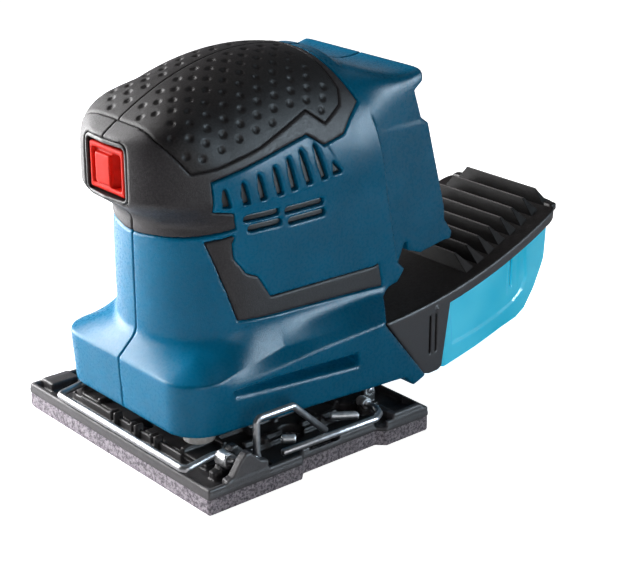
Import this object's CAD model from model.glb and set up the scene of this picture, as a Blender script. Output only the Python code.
import math

import bmesh
import bpy
import numpy as np
from mathutils import Matrix, Vector


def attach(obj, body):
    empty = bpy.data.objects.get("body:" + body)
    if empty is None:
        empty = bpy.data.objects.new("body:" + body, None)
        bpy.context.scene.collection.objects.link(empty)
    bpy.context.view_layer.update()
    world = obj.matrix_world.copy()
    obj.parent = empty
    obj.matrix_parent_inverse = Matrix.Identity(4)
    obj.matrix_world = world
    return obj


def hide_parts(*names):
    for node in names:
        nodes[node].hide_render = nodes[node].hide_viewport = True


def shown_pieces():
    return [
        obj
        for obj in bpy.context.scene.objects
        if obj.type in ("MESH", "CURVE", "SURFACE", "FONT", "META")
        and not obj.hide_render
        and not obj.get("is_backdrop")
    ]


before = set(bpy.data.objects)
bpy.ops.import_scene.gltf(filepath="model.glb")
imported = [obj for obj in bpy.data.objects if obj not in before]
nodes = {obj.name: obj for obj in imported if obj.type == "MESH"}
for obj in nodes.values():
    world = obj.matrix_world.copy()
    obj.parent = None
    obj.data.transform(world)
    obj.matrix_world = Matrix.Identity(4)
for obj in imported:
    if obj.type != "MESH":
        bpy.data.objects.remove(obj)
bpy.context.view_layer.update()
mm = 0.001


# ---- Camera ----
# A long lens looks down on the tool from its front left corner.

scene = bpy.context.scene
scene.view_settings.view_transform = "Standard"


def placed(name, data):
    """A new object in the scene, at the origin."""
    o = bpy.data.objects.new(name, data)
    scene.collection.objects.link(o)
    return o


cam_data = bpy.data.cameras.new("camera")
cam_data.lens = 95.04
cam_data.sensor_width = 36
cam_data.clip_start = 0.01
cam = placed("camera", cam_data)
azimuth, elevation = math.radians(49.624), math.radians(21.213)
back = Vector((math.sin(azimuth) * math.cos(elevation), -math.cos(azimuth) * math.cos(elevation),
    math.sin(elevation)))
cam.location = (0.448187, -0.338489, 0.273040)
cam.rotation_mode = "QUATERNION"
cam.rotation_quaternion = (-back).to_track_quat("-Z", "Y")
scene.camera = cam
cam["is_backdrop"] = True


# ---- Shader sums ----
# A socket that can be used like a number, so that a finish is written as a sum;
# colours go through Mix nodes. After it, what every piece's finish is made with.


class Sock:
    def __init__(self, tree, socket):
        self.tree = tree
        self.socket = socket

    def node(self, kind, inputs=(), out=0, **settings):
        n = self.tree.nodes.new(kind)
        for key, value in settings.items():
            setattr(n, key, value)
        for key, value in dict(inputs).items():
            if isinstance(value, Sock):
                self.tree.links.new(value.socket, n.inputs[key])
            else:
                n.inputs[key].default_value = value
        return Sock(self.tree, n.outputs[out])

    def sum(self, operation, a, b):
        return self.node("ShaderNodeMath", {0: a, 1: b}, operation=operation)

    def __add__(self, other):
        return self.sum("ADD", self, other)

    def __sub__(self, other):
        return self.sum("SUBTRACT", self, other)

    def __mul__(self, other):
        return self.sum("MULTIPLY", self, other)

    def __rsub__(self, other):
        return self.sum("SUBTRACT", other, self)

    __radd__ = __add__
    __rmul__ = __mul__

    def ramp(self, a, b, to_a=0.0, to_b=1.0):
        return self.node("ShaderNodeMapRange",
            {"Value": self, "From Min": a, "From Max": b, "To Min": to_a, "To Max": to_b},
            interpolation_type="SMOOTHSTEP")

    def part(self, i):
        split = self.tree.nodes.new("ShaderNodeSeparateXYZ")
        self.tree.links.new(self.socket, split.inputs[0])
        return Sock(self.tree, split.outputs[i])

    def noise(self, scale, detail, rough=0.5):
        return self.node("ShaderNodeTexNoise",
            {"Vector": self, "Scale": scale, "Detail": detail, "Roughness": rough})

    def mix(self, a, b):
        return self.node("ShaderNodeMix", {"Factor": self, 6: a, 7: b}, out=2, data_type="RGBA")


def finish(name, colour, rough, metal=0.0, bump=None, height=0.0001, **fixed):
    """A finish; colour, rough and bump may be functions of the place on the object."""
    material = bpy.data.materials.new(name)
    material.use_nodes = True
    tree = material.node_tree
    shader = tree.nodes["Principled BSDF"]
    place = Sock(tree, tree.nodes.new("ShaderNodeTexCoord").outputs["Object"])

    def put(socket, value):
        if callable(value):
            value = value(place)
        if isinstance(value, Sock):
            tree.links.new(value.socket, shader.inputs[socket])
        else:
            shader.inputs[socket].default_value = value

    put("Base Color", colour)
    put("Roughness", rough)
    put("Metallic", metal)
    for key, value in fixed.items():
        put(key.replace("_", " "), value)
    if bump:
        raised = place.node("ShaderNodeBump",
            {"Height": bump(place), "Distance": height, "Strength": 1.0})
        tree.links.new(raised.socket, shader.inputs["Normal"])
    return material


def tint(scale, detail, dark, light, start=0.3, end=0.7):
    """Colour that drifts between two shades over the piece."""
    return lambda place: place.noise(scale, detail).ramp(start, end).mix((*dark, 1), (*light, 1))


def grain(scale, detail, smooth, dull):
    """Roughness that drifts between two values over the piece."""
    return lambda place: place.noise(scale, detail).ramp(0.3, 0.7, smooth, dull)


def dress(obj, material, body, replaces):
    """Gives obj its finish and puts it on its body, in place of the CAD nodes it stands for."""
    obj.data.materials.clear()
    obj.data.materials.append(material)
    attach(obj, body)
    if replaces:
        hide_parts(*replaces)


# ---- Light and floor ----
# A large soft box stands low and close at the tool's front right, with weaker ones at
# its left and above it; a narrow one at its rear left only makes highlights. The
# ceiling is dark and the horizon behind is pale; the floor looks white.

TOOL_MIDDLE = Vector((0, 0.03, 0.07))


def lamp(name, place, size, power, colour=(1, 1, 1)):
    data = bpy.data.lights.new(name, "AREA")
    data.shape = "RECTANGLE"
    data.size, data.size_y = size
    data.energy = power
    data.color = colour
    o = placed(name, data)
    o.location = place
    o.rotation_mode = "QUATERNION"
    o.rotation_quaternion = (TOOL_MIDDLE - Vector(place)).to_track_quat("-Z", "Y")
    o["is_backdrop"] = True
    return o


lamp("key", (-0.42, -0.2, 0.2), (0.36, 0.45), 8.5)
strip = lamp("strip", (0.72, 0.5, 0.26), (0.12, 0.42), 10, (0.7, 0.87, 1))
strip.visible_diffuse = False
lamp("fill", (0.95, -0.3, 0.2), (0.5, 0.5), 2.7)
lamp("top", (-0.1, 0.3, 1.0), (0.6, 0.6), 0.7)

world = bpy.data.worlds.new("world")
scene.world = world
world.use_nodes = True
tree = world.node_tree
tree.nodes.clear()
way = Sock(tree, tree.nodes.new("ShaderNodeTexCoord").outputs["Generated"])
behind = (way.part(1) * 0.65 - way.part(0) * 0.76).ramp(-0.45, 0.3)
haze = way.part(2).ramp(0.62, 0.1) * behind
sky = haze.mix((0.02, 0.02, 0.022, 1), (0.26, 0.27, 0.29, 1))
soft = way.node("ShaderNodeBackground", {"Color": sky})
seen = way.node("ShaderNodeBackground", {"Color": (1, 1, 1, 1)})
rays = tree.nodes.new("ShaderNodeLightPath")
pick = tree.nodes.new("ShaderNodeMixShader")
out = tree.nodes.new("ShaderNodeOutputWorld")
tree.links.new(rays.outputs["Is Camera Ray"], pick.inputs["Fac"])
tree.links.new(soft.socket, pick.inputs[1])
tree.links.new(seen.socket, pick.inputs[2])
tree.links.new(pick.outputs[0], out.inputs["Surface"])

floor_mesh = bpy.data.meshes.new("floor")
floor_mesh.from_pydata([(-3, -3, 0), (3, -3, 0), (3, 3, 0), (-3, 3, 0)], [], [(0, 1, 2, 3)])
floor = placed("floor", floor_mesh)
floor.location.z = -0.0002
pale = finish("floor", (0.82, 0.82, 0.83, 1), 0.9)
glow = pale.node_tree.nodes.new("ShaderNodeLightPath")
shader = pale.node_tree.nodes["Principled BSDF"]
pale.node_tree.links.new(glow.outputs["Is Camera Ray"], shader.inputs["Emission Color"])
shader.inputs["Emission Strength"].default_value = 1.0
floor_mesh.materials.append(pale)
floor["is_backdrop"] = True


# ---- Housing ----
# The two shells moulded in blue plastic, split on the middle plane and screwed
# together. Their outside is the zero level of a field in millimetres: column, crown,
# hood, cheeks and skirt, run together with fillets. Soft skin and panel share it.


def lerp(a, b, t):
    return a + (b - a) * t


def ease(t):
    u = np.clip(t, 0, 1)
    return u * u * (3 - 2 * u)


def larger(a, b, r):
    """Maximum of two fields with their meeting edge rounded."""
    h = np.maximum(r - np.abs(a - b), 0) / r
    return np.maximum(a, b) + h * h * r * 0.25


def smaller(a, b, r):
    """Minimum of two fields with their meeting corner filled."""
    return -larger(-a, -b, r)


def without(f, g, r):
    """Field f with g cut away, the edges of the cut rounded."""
    return larger(f, -g, r)


def corner(dx, dy, r):
    """Distance to two walls that meet in a corner of radius r."""
    return np.hypot(np.maximum(dx, 0), np.maximum(dy, 0)) + np.minimum(np.maximum(dx, dy), 0) - r


def outline(points, y, z):
    """Distance to a side-view outline, negative inside it."""
    d = 1e9
    inside = False
    for (ya, za), (yb, zb) in zip(points, points[1:] + points[:1]):
        ey, ez = yb - ya, zb - za
        t = np.clip(((y - ya) * ey + (z - za) * ez) / (ey * ey + ez * ez), 0, 1)
        d = np.minimum(d, (y - ya - t * ey) ** 2 + (z - za - t * ez) ** 2)
        if ez:
            inside = inside ^ (((za > z) != (zb > z)) & (y < ya + (z - za) * ey / ez))
    return np.where(inside, -1, 1) * np.sqrt(d)


def levelled(form, x, y, z):
    """A form's value divided by its slope, which is close to a distance."""
    e = 0.05
    f = form(x, y, z)
    slope = np.sqrt((form(x + e, y, z) - f) ** 2 + (form(x, y + e, z) - f) ** 2
        + (form(x, y, z + e) - f) ** 2) / e
    return f / np.maximum(slope, 1e-3)


def settled(points, quads, field, cell, relax):
    """The points eased towards their neighbours and stepped back onto the zero level."""
    ends = np.concatenate([quads[:, [0, 1]], quads[:, [1, 2]], quads[:, [2, 3]], quads[:, [3, 0]]])
    for turn in range(relax + 2):
        if turn < relax:
            near = np.zeros_like(points)
            degree = np.zeros(len(points))
            for a, b in ((0, 1), (1, 0)):
                for i in range(3):
                    near[:, i] += np.bincount(ends[:, a], points[ends[:, b], i], len(points))
                degree += np.bincount(ends[:, a], minlength=len(points))
            points = lerp(points, near / degree[:, None], 0.6)
        x, y, z = points.T
        e = 0.04
        f = field(x, y, z)
        slope = np.stack([field(x + e, y, z) - field(x - e, y, z),
            field(x, y + e, z) - field(x, y - e, z),
            field(x, y, z + e) - field(x, y, z - e)], 1) / (2 * e)
        step = -f[:, None] * slope / np.maximum((slope ** 2).sum(1), 0.2)[:, None]
        length = np.linalg.norm(step, axis=1)
        points = points + step * np.minimum(1, 0.5 * cell / np.maximum(length, 1e-9))[:, None]
    return points


def surface(name, field, lo, hi, cell, drop=None, relax=2):
    """Mesh of a field's zero level in the box lo to hi, without what drop picks out."""
    axes = [np.arange(a, b + cell, cell) for a, b in zip(lo, hi)]
    shape = tuple(len(a) for a in axes)
    f = np.broadcast_to(field(axes[0][:, None, None], axes[1][None, :, None],
        axes[2][None, None, :]), shape)
    full = f < 0
    corners = [(i, j, k) for i in (0, 1) for j in (0, 1) for k in (0, 1)]
    cut = [slice(0, -1), slice(1, None)]
    # One point in every cell that the level crosses, in the middle of its crossings.
    count = sum(full[cut[i], cut[j], cut[k]].astype(np.int8) for i, j, k in corners)
    index = np.argwhere((count > 0) & (count < 8))
    value = np.stack([f[tuple((index + c).T)] for c in corners], 1).astype(float)
    total = np.zeros((len(index), 3))
    hits = np.zeros((len(index), 1))
    for a in range(8):
        for b in range(a + 1, 8):
            step = np.array(corners[b]) - np.array(corners[a])
            if abs(step).sum() != 1:
                continue
            crossed = (value[:, a] < 0) != (value[:, b] < 0)
            t = value[:, a] / np.where(crossed, value[:, a] - value[:, b], 1)
            total += np.where(crossed[:, None], np.array(corners[a]) + t[:, None] * step, 0)
            hits += crossed[:, None]
    points = np.array(lo) + cell * (index + total / hits)
    number = np.full(tuple(n - 1 for n in shape), -1, np.int64)
    number[tuple(index.T)] = np.arange(len(index))
    # One quad round every edge of the grid that the level crosses, facing outward.
    quads = []
    for axis in range(3):
        u, v = (axis + 1) % 3, (axis + 2) % 3
        here = [slice(1, -1)] * 3
        here[axis] = slice(0, -1)
        after = [slice(1, -1)] * 3
        after[axis] = slice(1, None)
        a, b = full[tuple(here)], full[tuple(after)]
        spot = np.argwhere(a != b)
        spot[:, u] += 1
        spot[:, v] += 1
        ring = []
        for du, dv in ((-1, -1), (0, -1), (0, 0), (-1, 0)):
            cell_at = spot.copy()
            cell_at[:, u] += du
            cell_at[:, v] += dv
            ring.append(number[tuple(cell_at.T)])
        quad = np.stack(ring, 1)
        flip = ~a[a != b]
        quad[flip] = quad[flip][:, ::-1]
        quads.append(quad)
    quads = np.concatenate(quads)
    points = settled(points, quads, field, cell, relax)
    if drop is not None:
        gone = drop(*points.T)
        quads = quads[~gone[quads].all(1)]
        used = np.unique(quads)
        fresh = np.full(len(points), -1)
        fresh[used] = np.arange(len(used))
        points, quads = points[used], fresh[quads]
    mesh = bpy.data.meshes.new(name)
    mesh.from_pydata(points * mm, [], quads.tolist())
    mesh.shade_smooth()
    mesh.validate()
    return placed(name, mesh)


def crown_z(y):
    """Height of the handle's ridge."""
    return 141.2 - (y - 10.7) ** 2 / 166


def nose_half(y):
    """Half width of the handle, which rounds off to the nose."""
    return 36 * np.maximum(1e-6, 1 - np.clip((-8 - y) / 42.2, 0, 1) ** 2.4) ** (1 / 2.4)


def dome_power(y):
    """How boxy the handle's cross-section is: 2 is round."""
    return lerp(2.3, 5, ease((-20 - y) / 28))


DOME_FOOT = 100


def dome(x, y, z):
    """Crown of the handle and the nose."""
    n = dome_power(y)
    side = np.abs(x) / np.maximum(nose_half(y), 4)
    rise = np.maximum(z - DOME_FOOT, 0) / (crown_z(y) - DOME_FOOT)
    return (side ** n + rise ** n) ** (1 / n) - 1


def column(x, y):
    """The motor's column in plan, round in front and flat at the sides."""
    return larger(np.hypot(x, np.minimum(y - 0.8, 0)) - 39.6, np.abs(x) - 35.5, 5)


BODY_SIDE = [(-70, 10), (38.3, 10), (38.3, 42.2), (47.4, 50.6), (53.2, 52), (56.7, 56.6),
    (53.3, 60), (36.06, 146.2), (-70, 146.2)]


def main(x, y, z):
    """Column and handle, which run into one another over the collar."""
    upper = larger(levelled(dome, x, y, z), -50 - y, 2)
    turned = lerp(column(x, y), upper, ease((z - 88) / 12))
    # The flanks flare a little towards the ridge: a crisp fold low down, hollow above.
    fold = np.interp(z, [50, 56.9, 71.9, 83.5, 90], [39, 38.2, 35.3, 33.4, 32])
    ridge = 53.3 - 0.2 * (z - 60)
    t = np.clip((y - fold) / (ridge - fold), 0, 1)
    flare = 1.1 * lerp(t * t, t, ease((96 - z) / 14)) * ease((z - 44) / 8)
    return larger(turned - flare, outline(BODY_SIDE, y, z), 1.4)


CHEEK_SIDE = [(30, 56), (30, 150), (66.4, 150), (66.4, 125.7), (62.4, 122.6), (66, 112.2),
    (69.3, 109.6), (78.7, 76), (79.2, 70.3), (83.2, 64.6), (82.7, 61.7), (78.7, 61.7),
    (67.1, 59.7), (60.6, 62.1), (60.3, 65.6), (58.6, 65.6), (55, 57)]


def hood(x, y, z):
    """The roof over the dock, boxier towards the rear."""
    s = np.clip((y - 30) / 38.4, 0, 1)
    n = 2.3 + 20 * s * s
    side = np.abs(x) / lerp(34.3, 33.6, s)
    ridge = lerp(crown_z(y) - 1.2, 131.2, s ** 1.5)
    rise = np.maximum(z - DOME_FOOT, 0) / (ridge - DOME_FOOT)
    return (side ** n + rise ** n) ** (1 / n) - 1


def dock(x, y, z):
    """The hood and the two cheeks under it."""
    cheeks = larger(np.abs(x) - 33.9, z - 111, 1.2)
    return larger(smaller(levelled(hood, x, y, z), cheeks, 0.5), outline(CHEEK_SIDE, y, z), 1.0)


FOOT_Z, TAIL_Y = 18, 48.4
SKIRT_SIDE = [(-70, FOOT_Z), (TAIL_Y, FOOT_Z), (53, 13.8), (58.7, 16.6), (38.3, 42.2), (47.4, 50.6),
    (52.4, 56), (-70, 56)]


def base_plan(x, y, z):
    """Distance to the base's outline in plan, which widens upward and rearward."""
    dx = np.abs(x) - (27.5 + 0.083 * (y + 31) + 0.042 * (z - FOOT_Z))
    dy = -y - (33.2 + 0.06 * (z - FOOT_Z))
    return corner(dx, dy, 12.5)


def waist(y):
    """Height at which the base's slope meets the column."""
    return 45.8 + 4.8 * ease((y + 33) / 19)


def skirt(x, y, z):
    """The base: its top rises from the edge to a crease, and from there to the column."""
    wall = base_plan(x, y, z)
    inset = np.maximum(-base_plan(x, y, 38), 0)
    reach = np.maximum(column(x, y), 0)
    edge = 37.6 + np.interp(y, [-32, -27, -17, -4.5, 6, 37], [0, -3.2, -1.6, 0.5, 2.1, 5.7])
    crease = 37.9 + np.interp(y, [-33, -20, -3, 10, 37], [0.3, 2.2, 4.8, 5.6, 7.6])
    width = np.interp(y, [-33, -20, -3, 10, 37], [0.2, 2.4, 4.9, 3.2, 3.4])
    first = lerp(edge, crease, np.minimum(inset / width, 1))
    rest = np.clip((inset - width) / np.maximum(inset + reach - width, 0.3), 0, 1)
    top = np.where(inset < width, first, lerp(crease, waist(y), rest))
    return larger(larger(wall, (z - top) * 0.85, 0.9), outline(SKIRT_SIDE, y, z), 1.8)


def whole(x, y, z):
    return smaller(smaller(main(x, y, z), skirt(x, y, z), 2.2), dock(x, y, z), 0.5)


GRIP_SIDE = [(-60, 83.3), (-38.5, 83.3), (-37.1, 84.1), (-33.5, 84.8), (-29.4, 85.8), (-24.6, 87.2),
    (-19, 88.6), (-20.4, 94.5), (-27.8, 95.8), (-28.8, 106.7), (11.1, 115.9), (18.2, 111),
    (27.6, 113.1), (31.3, 117.5), (37.2, 122.4), (30.6, 140), (28, 150), (-60, 150)]
PANEL_SIDE = [(-28, 84), (-19.4, 86.5), (-20.4, 83.2), (-20, 77.8), (-15.8, 72), (-11.5, 70.2),
    (-6, 61.5), (42.3, 60.9), (44, 61.9), (45.9, 52.3), (-19.2, 55)]
CHANNEL_SIDE = [(51, 121.5), (95, 121.5), (95, 40), (70, 40), (69, 58), (70.1, 66)]
RAIL_SIDE = [(51, 121.5), (59.5, 121.5), (78.6, 66), (76.9, 56), (69, 56), (70.1, 66)]
SCOOP_SIDE = [(-27, 33.6), (-10, 34.4), (25.6, 34.2), (27.1, 28.4), (-5, 29.4), (-26.5, 30.2)]
LOUVRES = [(-24.7, 103.7, -24.4, 97.4), (-17.7, 104.9, -17.2, 97.6), (-11.3, 106.5, -10.2, 97.8),
    (-4.6, 108, -3, 98.1), (1.5, 109.6, 3.2, 98.6), (7.2, 111.3, 9.9, 99.3),
    (13.5, 112.2, 16.7, 99.7)]
PATCH_SIDE = [(-28.8, 106.7), (-28.4, 96.4), (-18.5, 96.4), (3, 96.8), (26.7, 99.6), (18.6, 112),
    (11, 116.2)]
LEVEL_SLOTS = [(-16.4, -2.3, 91.7), (-14.7, -1.2, 87.9), (0.6, 17.5, 91.2), (2.3, 18.3, 87.1)]
POSTS = [(-30.7, 54.3), (-30.7, 82.4), (-14, 126.5), (33, 128), (38, 56)]


def slots(y, z):
    """Distance to the louvres and the level slots, in side view."""
    d = outline([(21.7, 104.5), (25.4, 100.5), (21.7, 100.5)], y, z)
    for ya, za, yb, zb in LOUVRES:
        my, mz = (ya + yb) / 2, (za + zb) / 2
        d = np.minimum(d, outline([(ya, za), (ya + 1, za - 1), (my + 1.5, mz), (yb + 2.2, zb),
            (yb, zb), (my - 0.6, mz)], y, z))
    for ya, yb, zm in LEVEL_SLOTS:
        d = np.minimum(d, np.hypot(np.maximum(np.abs(y - (ya + yb) / 2) - (yb - ya) / 2 + 0.8, 0),
            z - zm) - 0.8)
    return d


WALL, HOLLOW_TOP = 2.6, 23


def shell(x, y, z):
    """The body with its seats, channel, slots and scoop, hollow from below."""
    skin = whole(x, y, z)
    # The louvres stand on a slightly raised patch along the soft skin's edge.
    f = skin - 0.35 * ease(0.5 - outline(PATCH_SIDE, y, z) / 0.5) * (np.abs(x) > 20)
    # Seats of the soft skin and the panel, then the battery's channel with its rails.
    grip = larger(outline(GRIP_SIDE, y, z) - 0.15, -skin - 2, 0.3)
    panel = larger(outline(PANEL_SIDE, y, z) - 0.12, -skin - 1.2, 0.3)
    f = without(f, np.minimum(grip, panel), 0.5)
    channel = np.minimum(larger(outline(CHANNEL_SIDE, y, z), np.abs(x) - 24, 0.6),
        larger(outline(RAIL_SIDE, y, z), np.abs(x) - 27, 0.6))
    f = without(f, channel, 0.7)
    f = without(f, larger(slots(y, z) - 0.55, -skin - 3.5, 0.3), 0.5)
    # The scoop is shallow in front and deepest at the rear, over a sloping ledge.
    tall = ease((z - np.interp(y, [-27, -5, 27], [30.4, 29.6, 28.6])) / 2.8)
    depth = 0.3 + np.interp(y, [-27, -8, 26], [2.2, 4.4, 7]) * tall
    f = without(f, larger(outline(SCOOP_SIDE, y, z), -skin - depth, 0.5), 0.7)
    # Nothing hangs below the skirt, and the tail's underside stands clear of the
    # rear wire as it lifts and orbits.
    tail = 0.674 * (y - TAIL_Y) + 0.738 * (z - FOOT_Z) - ease(37.5 - np.abs(x))
    f = without(f, np.maximum(z - 17.96, tail), 0.3)
    under = np.maximum(skin + WALL, z - HOLLOW_TOP)
    window = np.maximum(np.maximum(np.abs(x) - 13.4, np.abs(z - 108.1) - 10.6), y + 44)
    return without(f, np.minimum(under, window), 0.4)


SEAM = 0.12


def left_shell(x, y, z):
    return larger(shell(x, y, z), SEAM - x, 0.45)


def right_shell(x, y, z):
    """The mirror half, with the screws' wells."""
    f = larger(shell(x, y, z), x + SEAM, 0.45)
    for py, pz in POSTS:
        f = without(f, np.maximum(np.hypot(y - py, z - pz) - 3.4, x + 14), 0.4)
    return f


def hidden(x, y, z):
    """Behind the skin at the middle plane, or below the soft skin and the panel."""
    skin = whole(x, y, z)
    seam = (np.abs(x) < 0.3) & (skin < -4) & (outline(CHANNEL_SIDE, y, z) > 2) & (z > 26)
    return seam | (outline(GRIP_SIDE, y, z) < -3) | (outline(PANEL_SIDE, y, z) < -2)


def speckle(place, scale=2600):
    """The fine grain of moulded plastic, as a height."""
    return place.noise(scale, 3, 0.6)


blue_plastic = finish(
    "blue_plastic", tint(55, 3, (0, 0.142, 0.28), (0, 0.164, 0.32)), grain(900, 2, 0.25, 0.32),
    bump=speckle, height=0.00006, Specular_IOR_Level=0.22,
)
cell = 0.75
shell_left = surface("shell_left", left_shell, (-1, -50, 12), (48, 86, 144), cell, hidden)
dress(shell_left, blue_plastic, "housing", ["housing_left"])
shell_right = surface("shell_right", right_shell, (-48, -50, 12), (1, 86, 144), cell, hidden)
dress(shell_right, blue_plastic, "housing", ["housing_right"])


# ---- Soft skin and side panels ----
# The graphite rubber moulded over the handle, the textured pads let into its top and
# the thin plastic panels on the flanks, each with rolled edges and a fine groove.

PAD_SIDE = [(-35, 110), (-25.5, 111), (-9, 115), (13, 123.5), (20, 118), (28.5, 122.7),
    (31, 127.8), (26.5, 150), (-42, 150), (-42.6, 121)]


def nose_window(x, z):
    """Opening of the switch frame in the nose."""
    return larger(np.abs(x) - 12.6, np.abs(z - 108.0) - 10.7, 4)


def skin_left(x, y, z):
    skin = whole(x, y, z)
    f = larger(skin, outline(GRIP_SIDE, y, z) + 0.1, 0.9)
    seat = larger(outline(PAD_SIDE, y, z) - 0.1, -skin - 1.2, 0.3)
    f = without(f, seat, 0.7)
    f = without(f, np.maximum(nose_window(x, z), y + 38), 0.6)
    return larger(larger(f, 0.1 - x, 0.4), -skin - 4, 0.2)


def outward(x, y, z):
    """Outward directions of the body's surface."""
    e = 0.05
    slope = np.stack([whole(x + e, y, z) - whole(x - e, y, z),
        whole(x, y + e, z) - whole(x, y - e, z), whole(x, y, z + e) - whole(x, y, z - e)], -1)
    return slope / np.linalg.norm(slope, axis=-1, keepdims=True)


def dimple_spots():
    """Middles of the staggered dimples, in rows evenly spaced down the pad's curve."""
    spots = []
    for row in range(9):
        shift = float(np.interp(row, [0, 2, 4, 8], [0, -1, -0.6, 4.6])) - 3.65 * (row % 2)
        for i in range(-1, 9):
            y = np.array(-35.5 + 7.25 * i + shift)
            xs = np.linspace(0, nose_half(y) * 0.999, 200)
            power = dome_power(y)
            drop = (1 - (xs / nose_half(y)) ** power) ** (1 / power)
            zs = DOME_FOOT + (crown_z(y) - DOME_FOOT) * drop
            along = np.concatenate([[0], np.cumsum(np.hypot(np.diff(xs), np.diff(zs)))])
            arc = 4.3 + 4.3 * row
            x, z = np.interp(arc, along, xs), np.interp(arc, along, zs)
            if arc < along[-1] and outline(PAD_SIDE, y, z) < -2.6:
                spots.append((x, y, z))
    return np.array(spots, float)


PRESS_R, PRESS_DEEP = 2.0, 0.75
spots = dimple_spots()
# Balls pressed into the pad from a little outside its surface.
presses = spots + outward(*spots.T) * (PRESS_R - PRESS_DEEP)


def pad_left(x, y, z):
    skin = whole(x, y, z)
    f = larger(skin + 0.12, outline(PAD_SIDE, y, z) + 0.15, 0.8)
    near = 1e6
    for a, b, c in presses:
        near = np.minimum(near, (x - a) ** 2 + (y - b) ** 2 + (z - c) ** 2)
    f = larger(f, PRESS_R - np.sqrt(near), 0.25)
    return larger(larger(f, 0.1 - x, 0.4), -skin - 4, 0.2)


def panel_left(x, y, z):
    skin = whole(x, y, z)
    f = larger(skin + 0.1, outline(PANEL_SIDE, y, z) + 0.12, 0.5)
    return larger(larger(f, 20 - x, 0.5), -skin - 4, 0.2)


def inner(depth):
    """Test for what lies deeper than this in the body, or well inside the pad's seat."""
    return lambda x, y, z: (whole(x, y, z) < -depth) | ((depth > 1.5)
        & (outline(PAD_SIDE, y, z) < -2) & (z > 108))


def mirrored(obj, name):
    """The same mesh on the tool's other side."""
    mesh = obj.data.copy()
    mesh.name = name
    mesh.transform(Matrix.Diagonal((-1, 1, 1, 1)))
    mesh.flip_normals()
    return placed(name, mesh)


def coarse(place):
    return speckle(place, 2200)


graphite = finish(
    "graphite_plastic", tint(1500, 2, (0.026, 0.023, 0.025), (0.042, 0.038, 0.041), 0.35),
    grain(1200, 2, 0.42, 0.56), bump=coarse, height=0.00012, Specular_IOR_Level=0.35,
)
grip_rubber = finish(
    "grip_rubber", tint(1500, 2, (0.009, 0.007, 0.007), (0.02, 0.017, 0.018), 0.35),
    grain(1200, 2, 0.46, 0.56), bump=coarse, height=0.00012, Specular_IOR_Level=0.3,
)
grip_cell = 0.7
skin = surface("skin_left", skin_left, (-1, -50, 80), (40, 40, 144), grip_cell, inner(2.2))
pad = surface("pad_left", pad_left, (-1, -50, 106), (40, 36, 144), grip_cell * 0.7, inner(1.3))
panel = surface("panel_left", panel_left, (18, -32, 50), (44, 50, 90), grip_cell, inner(1.3))
for o, node, material, slot in ((skin, "grip", graphite, "soft_grip"),
        (pad, "grip_pad", grip_rubber, "soft_grip"),
        (panel, "side_inlay", graphite, "graphite_plastic")):
    other = mirrored(o, o.name.replace("left", "right"))
    dress(o, material, "housing", [node + "_left"])
    dress(other, material, "housing", [node + "_right"])


# ---- Switch ----
# A dark plastic frame let into the nose round the red rocker, whose dished face has
# a raised platform. Both are moulded with soft edges.


def block(x, y, z, lo, hi, r=0.5):
    """Distance to a box with rounded edges."""
    cx, cy, cz = ((a + b) / 2 for a, b in zip(lo, hi))
    hx, hy, hz = ((b - a) / 2 for a, b in zip(lo, hi))
    return larger(larger(np.abs(x - cx) - hx, np.abs(y - cy) - hy, r), np.abs(z - cz) - hz, r)


def switch_frame(x, y, z):
    ring = larger(np.abs(x) - 12.4, np.abs(z - 108.0) - 10.5, 4)
    hole = larger(np.abs(x) - 11.1, np.abs(z - 107.8) - 9.2, 2)
    front = np.interp(np.abs(x), [0, 12.4], [-49.6, -48.4])
    return without(larger(larger(ring, front - y, 0.6), y + 45.2, 0.4), hole, 0.5)


def rocker(x, y, z):
    f = block(x, y, z, (-10.3, -48.1, 99.4), (10.3, -41, 115.8), 1.1)
    bed = np.interp(x, [2, 5.2, 8.6], [-46.7, -44.4, -43.2])
    dish = larger(np.abs(x) - 8.4, np.abs(z - 107.6) - 6.3, 1.4)
    raised = larger(np.abs(x + 2.6) - 4.4, np.abs(z - 107.0) - 5.4, 0.8)
    return without(f, without(larger(dish, y - bed, 0.3), raised, 0.6), 0.7)


small = 0.3
black = finish(
    "black_plastic", tint(1300, 2, (0.012, 0.012, 0.013), (0.02, 0.019, 0.02)),
    grain(700, 2, 0.38, 0.5), bump=speckle, height=0.00006,
)
red = finish(
    "red_plastic", tint(300, 2, (0.56, 0.014, 0.007), (0.64, 0.02, 0.01)),
    grain(900, 2, 0.34, 0.42), bump=speckle, height=0.00003, Specular_IOR_Level=0.05,
)
o = surface("bezel", switch_frame, (-14, -50, 96), (14, -44, 120), small)
dress(o, black, "housing", ["switch_frame"])
o = surface("rocker", rocker, (-12, -50.5, 98), (12, -44, 117), small)
dress(o, red, "rocker", ["switch_rocker"])


# ---- Clamp wires ----
# Bright drawn wire, bent with small radii: the front clamp with its thumb loop,
# the rear clamp and the side lever that works it.


def ringed(name, rings):
    """Smooth skin over rings of points, with a flat face at each end."""
    sides, last = len(rings[0]), (len(rings) - 1) * len(rings[0])
    faces = []
    for i in range(0, last, sides):
        for k in range(sides):
            n = (k + 1) % sides
            faces.append((i + k, i + n, i + sides + n, i + sides + k))
    faces.append(tuple(range(sides - 1, -1, -1)))
    faces.append(tuple(range(last, last + sides)))
    mesh = bpy.data.meshes.new(name)
    mesh.from_pydata([p for ring in rings for p in ring], [], faces)
    mesh.shade_smooth()
    return placed(name, mesh)


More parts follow.
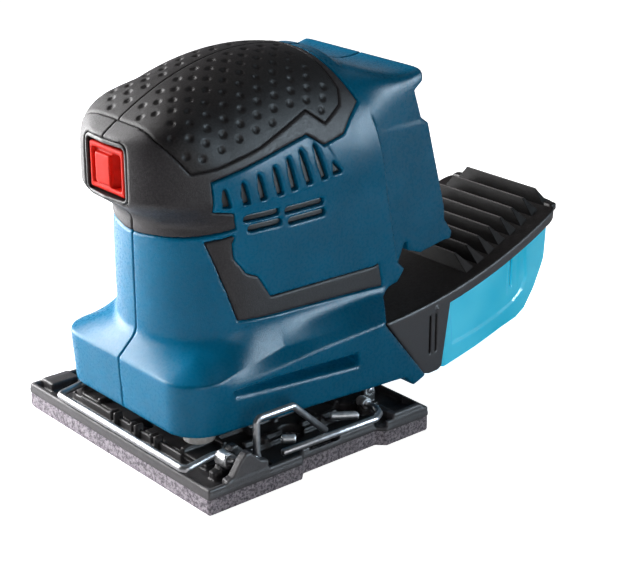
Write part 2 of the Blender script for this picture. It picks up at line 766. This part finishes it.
def bent(name, path, r, bend, sides=20):
    """Round wire along corner points, with arcs at the corners and eased ends."""
    points = [Vector(p) for p in path]
    line = [points[0]]
    for a, b, c in zip(points, points[1:], points[2:]):
        u, v = (a - b), (c - b)
        reach = min(bend / math.tan(u.angle(v) / 2), u.length * 0.48, v.length * 0.48)
        p, q = b + u.normalized() * reach, b + v.normalized() * reach
        line += [p.lerp(b, i / 8).lerp(b.lerp(q, i / 8), i / 8) for i in range(9)]
    line.append(points[-1])
    first, last = (line[1] - line[0]).normalized(), (line[-1] - line[-2]).normalized()
    radii = [0.35 * r, 0.75 * r] + [r] * len(line) + [0.75 * r, 0.35 * r]
    line = ([line[0], line[0] + first * 0.05 * r, line[0] + first * 0.3 * r] + line[1:-1]
        + [line[-1] - last * 0.3 * r, line[-1] - last * 0.05 * r, line[-1]])
    turns = [2 * math.pi * k / sides for k in range(sides)]
    rings = []
    side = Vector((0.3, 0.5, 0.8)).cross(first).normalized()
    for i, p in enumerate(line):
        ahead = (line[min(i + 1, len(line) - 1)] - line[max(i - 1, 0)]).normalized()
        side = (side - ahead * side.dot(ahead)).normalized()
        over = ahead.cross(side)
        rings.append([(p + (side * math.cos(a) + over * math.sin(a)) * radii[i]) * mm
            for a in turns])
    return ringed(name, rings)


wire_steel = finish(
    "wire_steel", tint(400, 3, (0.3, 0.3, 0.31), (0.42, 0.42, 0.43), end=0.75),
    grain(1500, 3, 0.32, 0.42), metal=1.0,
)
# Each clamp turns about its pivots and presses the sheet's end down with its bar.
WIRE_R = 1.3
PIVOT_Y, PIVOT_Z = 37, 14.4
BAR_Y, BAR_Z = 51.4, 13
o = bent("front_wire", [(-40.6, -PIVOT_Y, PIVOT_Z), (-34.2, -PIVOT_Y, PIVOT_Z),
    (-34.2, -41, PIVOT_Z), (-34.2, -50.2, BAR_Z), (-32.8, -BAR_Y, BAR_Z), (42.6, -BAR_Y, BAR_Z),
    (44, -50.2, BAR_Z), (44, -40, PIVOT_Z), (44, -PIVOT_Y, PIVOT_Z), (51, -PIVOT_Y, PIVOT_Z),
    (51, -25.2, 11.9), (51, -25.8, 13.4), (51, -25.8, 25.3), (51, -24.6, 26.5), (51, -9.6, 26.5),
    (51, 5.4, 12.1)], WIRE_R, 1.6)
dress(o, wire_steel, "front_clamp", ["front_clamp"])
o = bent("rear_wire", [(-40.4, PIVOT_Y, PIVOT_Z), (-34.2, PIVOT_Y, PIVOT_Z), (-34.2, 41, PIVOT_Z),
    (-34.2, 50.2, BAR_Z), (-32.8, BAR_Y, BAR_Z), (32.8, BAR_Y, BAR_Z), (34.2, 50.2, BAR_Z),
    (34.2, 41, PIVOT_Z), (34.2, PIVOT_Y, PIVOT_Z), (40.4, PIVOT_Y, PIVOT_Z)], WIRE_R, 1.6)
dress(o, wire_steel, "rear_clamp", ["rear_clamp"])
o = bent("lever_wire", [(38.8, 31.6, 12), (48.4, 31.6, 12), (52.8, 29.6, 12), (55.2, 25.6, 12),
    (54, -17, 12)], WIRE_R, 2.2)
dress(o, wire_steel, "rear_lever", ["rear_lever"])


# ---- Sanding pad and base plate ----
# The speckled felt slab under the black ribbed plate. The plate is one moulding:
# tray, ribs, hub, clamp channels, humps over the pivots and cups for the legs.

DUST_HOLES = [(38 * i, 26 * j) for i in (-1, 1) for j in (-1, 0, 1)] + [(0, 38), (0, -38)]
LEG_X, LEG_FRONT_Y, LEG_REAR_Y = 28.5, -33.5, 33
SLEEVE_Y, SLEEVE_Z = -36.7, 13.6
# For each wire: the pivot's two ends across the tool, and its place along and up it.
PIVOTS = [(-41, -34, -PIVOT_Y, PIVOT_Z), (44, 51, -PIVOT_Y, PIVOT_Z), (-41, 41, PIVOT_Y, PIVOT_Z),
    (38, 46, 31.6, 12)]


def pad_plan(x, y):
    """Distance to the pad's outline in plan, with the notch in each long side."""
    side = np.interp(y, [-10, -7, 27, 30], [56.5, 53.5, 53.5, 56.5])
    return larger(np.abs(x) - side, np.abs(y) - 50.5, 0.6)


def felt(x, y, z):
    f = larger(pad_plan(x, y), np.abs(z - 3) - 3, 0.8)
    for hx, hy in DUST_HOLES:
        f = without(f, np.hypot(x - hx, y - hy) - 4, 0.4)
    return f


HUMP_SIDE = [(-42.5, 7), (-42.5, 10.4), (-40, 11), (-36.6, 16.2), (-34.4, 18), (-32.4, 18.1),
    (-30.6, 16.2), (-28, 13.8), (-24.8, 12.9), (-24.8, 7)]
REAR_BLOCK_SIDE = [(33.4, 6), (33.4, 11.4), (34, 11.8), (46.6, 11.8), (48.4, 10.6), (49, 6)]


def plate(x, y, z):
    plan = pad_plan(x, y)
    f = larger(plan, np.abs(z - 6.8) - 0.8, 0.4)

    def add(g, r=0.7):
        nonlocal f
        f = smaller(f, g, r)

    def cut(g, r=0.4):
        nonlocal f
        f = without(f, g, r)

    # Tray rim, ribs both ways, and the hub with its spokes.
    add(larger(larger(plan, -plan - 1.8, 0.4), np.abs(z - 7.9) - 1.8, 0.6))
    add(block(x, y, z, (-41, -40, 6), (41, 40, 9.4)))
    for bx in (-39, -26, 26, 37):
        add(block(x, y, z, (bx, -40, 6), (bx + 2, 40, 11)))
    for by in (-27, -14, 12, 25):
        add(block(x, y, z, (-41, by, 6), (41, by + 2, 11)))
    radius = np.hypot(x, y)
    add(larger(radius - 15, z - 19.6, 0.8) + np.maximum(6 - z, 0))
    for a in range(0, 180, 45):
        c, s = math.cos(math.radians(a)), math.sin(math.radians(a))
        add(block(x * c + y * s, y * c - x * s, z, (-30, -1, 6), (30, 1, 13.5)))
    # Thin walls inside the bars, each with three slotted clips.
    for sy in (-1, 1):
        add(block(x, y * sy, z, (-38, 42.2, 6), (31, 43.3, 11)), 0.3)
        for cx in (-9.4, 3.6, 15.6):
            add(block(x, y * sy, z, (cx - 2, 41, 6), (cx + 2, 44.6, 12.8)), 0.2)
            cut(block(x, y * sy, z, (cx - 0.7, 40, 9.4), (cx + 0.7, 45.6, 13.5)), 0.2)
    # Posts under the pivots, and the humps and blocks at the corners.
    for sx in (-1, 1):
        add(block(x * sx, y, z, (35.6, 34.4, 6), (39.6, 39.6, PIVOT_Z)))
    add(block(x, y, z, (-39.6, -39.6, 6), (-35.6, -34.4, PIVOT_Z)))
    add(block(x, y, z, (45.6, -39.6, 6), (49.6, -34.4, PIVOT_Z)))
    add(block(x, y, z, (40, 29, 6), (44, 34.2, 12)))
    hump = outline(HUMP_SIDE, y, z)
    add(larger(hump, np.abs(x - 54.7) - 1.8, 0.7))
    add(larger(hump, np.abs(x - 47.3) - 1.7, 0.7))
    add(block(x, y, z, (-55.5, -46, 6), (-47.5, -34, 10.8), 0.8))
    rear = outline(REAR_BLOCK_SIDE, y, z)
    add(larger(rear, np.abs(np.abs(x) - 51.4) - 5.05, 0.8))
    cut(block(x, y, z, (45, 35.4, 8.6), (54.4, 46.6, 13)), 0.5)
    # Dust holes, the sleeve's seat, the hub's bore and the legs' cups.
    for hx, hy in DUST_HOLES:
        cut(np.hypot(x - hx, y - hy) - 4.6)
    cut(larger(np.hypot(y - SLEEVE_Y, z - SLEEVE_Z) - 3.1, np.abs(x - 47.5) - 3.5, 0.3))
    cut(np.maximum(radius - 11, 12.5 - z))
    cut(np.maximum(radius - 9.4, 8 - z))
    for sx in (-1, 1):
        for ly in (LEG_FRONT_Y, LEG_REAR_Y):
            cut(larger(np.hypot(x - sx * LEG_X, y - ly) - 8.4, 11.2 - z, 0.8))
    # Room for the thumb loop, the arms and the lever as they turn, and the pivots' bores.
    cut(block(x, y, z, (48.9, -39.2, 6), (53.1, -19.2, 16.3)))
    cut(block(x, y, z, (-36.2, -60, 10.2), (-32.2, -34, 20.2)))
    for sx in (-1, 1):
        cut(block(x * sx, y, z, (32.2, 38, 10.2), (36.2, 64, 20.2)))
    cut(block(x, y, z, (48.9, -4, 5), (53.1, 10, 11)))
    cut(block(x, y, z, (47, 26.8, 7.3), (57, 30.2, 12.3)))
    for x0, x1, py, pz in PIVOTS:
        cut(np.maximum(np.hypot(y - py, z - pz) - 2.15, np.abs(x - (x0 + x1) / 2) - (x1 - x0) / 2))
    return f


def rim_face(place):
    """Raised on the outer face of the plate's rim, which is rubbed paler."""
    # Both compare the square of the distance from the middle, in square metres.
    aside = (place.part(0) * place.part(0)).ramp(0.00275, 0.0028)
    along = (place.part(1) * place.part(1)).ramp(0.00247, 0.00252)
    return place.sum("MAXIMUM", aside, along) * 0.45


plate_plastic = finish(
    "plate_plastic",
    lambda p: (p.noise(700, 4, 0.7).ramp(0.35, 0.75) * 0.25 + rim_face(p)).mix(
        (0.022, 0.02, 0.021, 1), (0.11, 0.103, 0.11, 1)),
    grain(350, 3, 0.4, 0.55), bump=speckle, height=0.00012,
)
felt_grey = finish(
    "felt",
    lambda p: p.noise(900, 5, 0.75).ramp(0.38, 0.62).mix(
        (0.11, 0.095, 0.115, 1), (0.5, 0.45, 0.5, 1)),
    0.95,
    bump=lambda p: p.noise(1100, 5, 0.7), height=0.0009,
)
plate_cell = 0.5
o = surface("felt_pad", felt, (-58, -52, -1), (58, 52, 7.5), plate_cell * 1.5)
dress(o, felt_grey, "pad", ["sanding_pad"])
o = surface("plate", plate, (-58, -52, 5), (58, 52, 21), plate_cell, relax=1)
dress(o, plate_plastic, "pad", ["base_plate"])


# ---- Dust box ----
# The lid moulded in black plastic, with its wedge-shaped front and low catches at
# its rear corners, and the tub of clear cyan plastic hung below it.


def rim_z(y):
    """Height of the lid's top, which curves up to the rear."""
    d = y - 46
    return 38.7 + 0.06 * d + 0.00145 * d * d


def box_plan(x, y):
    """Distance to the box's outline in plan."""
    dx = np.abs(x) - (31.2 - 0.0009 * np.maximum(y - 46, 0) ** 2)
    return corner(dx, y - 142, 8)


WEDGE_SIDE = [(44.8, 38.6), (65, 12.4), (68.6, 11.3), (73.4, 11.4), (75.4, 12.6), (79.6, 38.5),
    (79.6, 80), (44.8, 80)]


def cover(x, y, z):
    top = (z - rim_z(y)) * 0.97
    low = np.minimum(outline(WEDGE_SIDE, y, z), larger((rim_z(y) - 4.8 - z) * 0.97, 78 - y, 0.5))
    plan = box_plan(x, y)
    f = larger(larger(plan, low, 0.9), top, 1.1)
    inside = larger(larger(plan + 2, low + 2, 0.5), top + 2, 0.5)
    open_low = np.maximum(np.maximum(plan + 2, 80 - y), top + 2)
    f = without(f, np.minimum(inside, open_low), 0.4)
    f = without(f, np.maximum(np.hypot(x, z - 28.6) - 7.4, y - 66), 0.4)
    for gy in (68.2, 71.4):
        groove = larger(np.abs(y - gy) - 0.4, np.abs(z - 27.6) - 8, 0.4)
        f = without(f, larger(groove, -plan - 1.1, 0.3), 0.3)
    for sx in (-1, 1):
        dot = np.sqrt((x - sx * 38.5) ** 2 + (y - 71.8) ** 2 + (z - 37.6) ** 2) - 0.9
        f = smaller(f, dot, 0.2)
        # Catch at the rear corner.
        f = smaller(f, block(x * sx, y, z, (23, 145.4, 57), (28, 149, 60.2), 0.8), 0.5)
    return f


TUB_PANEL = [(80, 60), (84, 18.3), (98, 19.8), (112.3, 22.2), (122, 25), (128, 28.5),
    (130.5, 33), (129, 46), (127, 60)]
TUB_SIDE = [(82.2, 37.6), (78.8, 10.8), (80.5, 8.9), (99.9, 11.9), (115.7, 14.9), (125.5, 16.2),
    (131.2, 18.6), (138, 26.2), (144.6, 37.5), (147, 53.7), (134, 49.8), (120, 45.6), (100, 40.8)]


def tub(x, y, z):
    plan = box_plan(x, y)
    side = outline(TUB_SIDE, y, z)
    # Each flank has a slightly sunk panel with a broad upright flute near its rear.
    sunk = 0.7 * ease(0.5 - outline(TUB_PANEL, y, z) / 0.8)
    sunk = sunk + 0.5 * ease((y - 118.2) / 0.7) * ease((126 - y) / 0.7) * ease((z - 27) / 6)
    f = larger(larger(plan + 2.8 + sunk, side, 3.0), (z - rim_z(y) + 5.3) * 0.97, 0.4)
    hollow = larger(plan + 4.6, np.minimum(side, 0) + 1.8, 2.0)
    hollow = np.where(z > rim_z(y) - 9, plan + 4.6, hollow)
    return without(f, hollow, 0.3)


def across(place):
    """Nearer 1 where a surface faces sideways, with a little cloud in it."""
    facing = place.node("ShaderNodeTexCoord", out=1).part(0)
    return (facing * facing).ramp(0.35, 0.9) + place.noise(900, 2).ramp(0.3, 0.7, -0.05, 0.05)


box_plastic = finish(
    "box_plastic",
    lambda p: across(p).mix((0.012, 0.0095, 0.0095, 1), (0.085, 0.08, 0.086, 1)),
    grain(700, 2, 0.34, 0.46), bump=speckle, height=0.00008, Specular_IOR_Level=0.35,
)
# The weak glow stands for the light that comes through the clear wall.
cyan = finish(
    "clear_cyan", tint(24, 2, (0.02, 0.5, 0.72), (0.06, 0.62, 0.86)), grain(500, 2, 0.2, 0.26),
    Emission_Color=tint(24, 2, (0, 0.09, 0.14), (0.02, 0.13, 0.19)), Emission_Strength=2.0,
)
box_cell = 0.65
o = surface("box_lid", cover, (-42, 43, 9), (42, 152, 66), box_cell)
dress(o, box_plastic, "dust_box", ["box_cover"])
o = surface("tub", tub, (-40, 76, 6), (40, 149, 58), box_cell)
dress(o, cyan, "dust_tub", ["dust_tub"])


# ---- Repeats: air fins and case screws ----
# One item copied to many places with Geometry Nodes: the plastic fins moulded on the
# lid and the steel screws that close the housing.


def scatter(name, item, places, turns, sizes, material):
    """Copies item to each place; turns are Euler angles in radians, sizes are scales."""
    mesh = bpy.data.meshes.new(name)
    mesh.from_pydata([tuple(c * mm for c in p) for p in places], [], [])
    for key, rows in (("turn", turns), ("size", sizes)):
        field = mesh.attributes.new(key, "FLOAT_VECTOR", "POINT")
        field.data.foreach_set("vector", np.array(rows, float).ravel())
    o = placed(name, mesh)
    group = bpy.data.node_groups.new(name, "GeometryNodeTree")
    face = group.interface
    face.new_socket("Geometry", in_out="INPUT", socket_type="NodeSocketGeometry")
    item_in = face.new_socket("Item", in_out="INPUT", socket_type="NodeSocketObject")
    finish_in = face.new_socket("Finish", in_out="INPUT", socket_type="NodeSocketMaterial")
    face.new_socket("Geometry", in_out="OUTPUT", socket_type="NodeSocketGeometry")
    kinds = ("NodeGroupInput", "NodeGroupOutput", "GeometryNodeObjectInfo",
        "GeometryNodeInstanceOnPoints", "GeometryNodeRealizeInstances", "GeometryNodeSetMaterial",
        "GeometryNodeInputNamedAttribute", "GeometryNodeInputNamedAttribute",
        "FunctionNodeEulerToRotation")
    start, end, info, copies, real, paint, turn, size, euler = (group.nodes.new(k) for k in kinds)
    for node, key in ((turn, "turn"), (size, "size")):
        node.data_type = "FLOAT_VECTOR"
        node.inputs["Name"].default_value = key
    link = group.links.new
    link(start.outputs["Item"], info.inputs["Object"])
    link(start.outputs["Geometry"], copies.inputs["Points"])
    link(info.outputs["Geometry"], copies.inputs["Instance"])
    link(turn.outputs["Attribute"], euler.inputs[0])
    link(euler.outputs[0], copies.inputs["Rotation"])
    link(size.outputs["Attribute"], copies.inputs["Scale"])
    link(copies.outputs[0], real.inputs[0])
    link(real.outputs[0], paint.inputs["Geometry"])
    link(start.outputs["Finish"], paint.inputs["Material"])
    link(paint.outputs[0], end.inputs[0])
    repeat = o.modifiers.new("repeat", "NODES")
    repeat.node_group = group
    repeat[item_in.identifier] = item
    repeat[finish_in.identifier] = material
    made = bpy.data.meshes.new_from_object(o.evaluated_get(bpy.context.evaluated_depsgraph_get()))
    made.name = name
    o.modifiers.clear()
    o.data = made
    bpy.data.objects.remove(item)
    return o


def spun(name, profile, sides):
    """A round item from (radius, height) points."""
    turns = [2 * math.pi * k / sides for k in range(sides)]
    return ringed(name, [[(r * mm * math.cos(a), r * mm * math.sin(a), h * mm) for a in turns]
        for r, h in profile])


# Each fin is a saw tooth: upright in front, sloping away behind and cut slanting at its ends.
FIN_HALF, FIN_TOP = 33, 25
FOOT, TOP = -1.2, 6
tooth = [(-FIN_HALF, -0.9, FOOT), (FIN_HALF, -0.9, FOOT), (FIN_TOP, -0.9, TOP),
    (-FIN_TOP, -0.9, TOP), (-FIN_HALF, 6, FOOT), (FIN_HALF, 6, FOOT), (FIN_TOP, 0.1, TOP),
    (-FIN_TOP, 0.1, TOP)]
fin_mesh = bmesh.new()
verts = [fin_mesh.verts.new(Vector(p) * mm) for p in tooth]
for ring in ((0, 1, 2, 3), (1, 5, 6, 2), (5, 4, 7, 6), (4, 0, 3, 7), (3, 2, 6, 7), (4, 5, 1, 0)):
    fin_mesh.faces.new([verts[i] for i in ring])
bmesh.ops.bevel(fin_mesh, geom=fin_mesh.edges[:], offset=0.16 * mm, segments=1, affect="EDGES")
mesh = bpy.data.meshes.new("fin")
fin_mesh.to_mesh(mesh)
fin_mesh.free()
fin_plastic = finish(
    "fin_plastic",
    lambda p: p.node("ShaderNodeTexCoord", out=1).part(2).ramp(0.55, 1.0).mix(
        (0.004, 0.0035, 0.0035, 1), (0.15, 0.14, 0.14, 1)),
    grain(700, 2, 0.4, 0.52), bump=speckle, height=0.00008, Specular_IOR_Level=0.2,
)
rows = [94 + 7.35 * k for k in range(8)]
widths = [39.2 - 0.0009 * (y - 46) ** 2 - min(3.5 + 0.7 * k, 5.6) for k, y in enumerate(rows[:7])]
last_fin = (0.77, 0.62, 1)
o = scatter("air_fins", placed("fin", mesh), [(0, y, rim_z(y)) for y in rows], [(0, 0, 0)] * 8,
    [(v / FIN_HALF, 1, 1) for v in widths] + [last_fin], fin_plastic)
dress(o, fin_plastic, "dust_box", ())

screw_steel = finish(
    "screw_steel", tint(500, 3, (0.3, 0.3, 0.31), (0.5, 0.5, 0.5), end=0.75),
    grain(900, 3, 0.25, 0.42), metal=1.0,
)
head = spun("head", [(3.0, -12), (3.0, 0.4), (2.85, 0.6), (2.5, 0.7), (1.75, 0.72), (1.6, 0.6),
    (1.45, -1.1), (0.2, -1.3)], 36)
# The recess in the head gets six lobes.
for v in head.data.vertices:
    r = math.hypot(v.co.x, v.co.y) / mm
    if r < 1.8 and v.co.z < 0.65 * mm:
        a = math.atan2(v.co.y, v.co.x)
        k = 1 - 0.16 * (1 + math.cos(6 * a)) / 2
        v.co.x, v.co.y = v.co.x * k, v.co.y * k
o = scatter("case_screws", head, [(-15.6, y, z) for y, z in POSTS],
    [(0, -math.pi / 2, 0.3 * i) for i in range(5)], [(1, 1, 1)] * 5, screw_steel)
dress(o, screw_steel, "housing", ["housing_screws"])


# ---- Inside and underneath ----
# The working parts, seen through gaps, from below or with the dust box off, keep their
# own shapes and get worked finishes. The four damper legs are rubber cups.


def worked(name, dark, light, rough, metal=0.0, scale=500):
    """A finish that varies softly between two colours, a little rougher in places."""
    return finish(name, tint(scale, 3, dark, light, end=0.72),
        grain(scale * 1.7, 3, rough - 0.06, rough + 0.08), metal=metal,
        bump=lambda p: speckle(p, scale * 3), height=0.00004)


sleeve_steel = worked("sleeve_steel", (0.55, 0.55, 0.56), (0.75, 0.75, 0.76), 0.46, 1.0)
INSIDE = [
    (black, ["switch_body", "end_bell", "fan", "terminal_block", "dust_duct", "base_cover",
        "box_nozzle"]),
    (worked("motor_steel", (0.3, 0.31, 0.32), (0.46, 0.47, 0.48), 0.38, 1.0), ["motor_can"]),
    (worked("ferrite", (0.05, 0.05, 0.055), (0.09, 0.09, 0.095), 0.5), ["magnets"]),
    (worked("carbon", (0.02, 0.02, 0.02), (0.045, 0.045, 0.045), 0.6), ["brushes"]),
    (worked("bearing_steel", (0.48, 0.48, 0.49), (0.62, 0.62, 0.63), 0.24, 1.0),
        ["upper_bearing", "lower_bearing", "motor_shaft", "spindle_screw", "pad_bearing"]),
    (worked("die_cast", (0.4, 0.41, 0.42), (0.55, 0.56, 0.57), 0.5, 1.0, 900), ["bearing_plate"]),
    (worked("laminations", (0.26, 0.24, 0.23), (0.4, 0.37, 0.35), 0.45, 1.0), ["armature"]),
    (worked("copper", (0.55, 0.24, 0.12), (0.7, 0.36, 0.2), 0.3, 1.0), ["commutator"]),
    (worked("brass_weight", (0.5, 0.38, 0.16), (0.66, 0.52, 0.26), 0.34, 1.0), ["counterweight"]),
    (worked("board", (0.012, 0.1, 0.045), (0.02, 0.15, 0.07), 0.3), ["control_board"]),
    (worked("contact_metal", (0.6, 0.5, 0.28), (0.74, 0.64, 0.42), 0.26, 1.0),
        ["battery_contacts"]),
    (sleeve_steel, ["clamp_sleeves"]),
    (worked("filter_paper", (0.72, 0.69, 0.61), (0.84, 0.82, 0.75), 0.85), ["microfilter"]),
]
for material, names in INSIDE:
    for name in names:
        nodes[name].data.materials.clear()
        nodes[name].data.materials.append(material)

rubber = worked("leg_rubber", (0.68, 0.67, 0.64), (0.8, 0.79, 0.76), 0.4)
CUP_SIDES = 48
CUP = [(0.4, 12.7), (2.4, 12.7), (4.6, 12.9), (5.6, 13.5), (5.9, 14.4), (5.9, 16.2), (6.3, 16.6),
    (6.3, 17.7), (6.1, 17.95), (3.6, 18), (3.45, 20.9), (0.4, 20.9)]
# The front right cup is slimmer below its collar, beside the wire that orbits past it.
for name, x, y, slim in (("leg_front_left", LEG_X, LEG_FRONT_Y, 1),
        ("leg_front_right", -LEG_X, LEG_FRONT_Y, 0.86),
        ("leg_rear_left", LEG_X, LEG_REAR_Y, 1), ("leg_rear_right", -LEG_X, LEG_REAR_Y, 1)):
    o = spun(name + "_cup", CUP, CUP_SIDES)
    for k, v in enumerate(o.data.vertices):
        ring = k // CUP_SIDES
        lean = (slim if ring < 6 else 1) - (0.07 if ring in (4, 5) and k % 4 < 2 else 0)
        v.co = Vector((v.co.x * lean + x * mm, v.co.y * lean + y * mm, v.co.z))
    dress(o, rubber, "housing", [name])


# ---- Dark vents and small steel parts ----
# Black plastic backs deep in the louvres and slots; the thick steel sleeve on the
# front clamp and two steel pins that show beside the plate's humps.


def vent_backs(x, y, z):
    skin = whole(x, y, z)
    depth = larger(skin + 1.5, -skin - 3.3, 0.2)
    return larger(larger(slots(y, z) - 0.3, depth, 0.2), 20 - x, 0.2)


vent_cell = 0.42
o = surface("vent_backs_left", vent_backs, (22, -28, 84), (42, 28, 115), vent_cell)
other = mirrored(o, "vent_backs_right")
dress(o, black, "housing", ())
dress(other, black, "housing", ())


# Each pin: its ends in plan, and its radius.
PINS = [((45.2, -10.2), (48.2, -6), 1.6), ((42.3, 15), (48.4, 23.5), 1.5)]


def steel_parts(x, y, z):
    f = larger(np.hypot(y - SLEEVE_Y, z - SLEEVE_Z) - 2.8, np.abs(x - 47.5) - 3, 0.7)
    f = without(f, np.hypot(y + PIVOT_Y, z - PIVOT_Z) - 1.6, 0.2)
    for a, b, r in PINS:
        long = math.dist(a, b)
        c, s = (b[0] - a[0]) / long, (b[1] - a[1]) / long
        t = (x - a[0]) * c + (y - a[1]) * s
        off = (y - a[1]) * c - (x - a[0]) * s
        f = np.minimum(f, larger(np.hypot(off, z - 11.6) - r, np.abs(t - long / 2) - long / 2, 0.6))
    return f


o = surface("steel_parts", steel_parts, (38, -41, 8), (52, 23, 18), 0.35)
dress(o, sleeve_steel, "pad", ())


# ---- Size and end ----
# The box round everything that shows is written beside the solids' own box.

seen_points = []
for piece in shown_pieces():
    if piece.type == "MESH" and piece.data.vertices:
        co = np.zeros(len(piece.data.vertices) * 3)
        piece.data.vertices.foreach_get("co", co)
        seen_points += [co.reshape(-1, 3).min(0), co.reshape(-1, 3).max(0)]
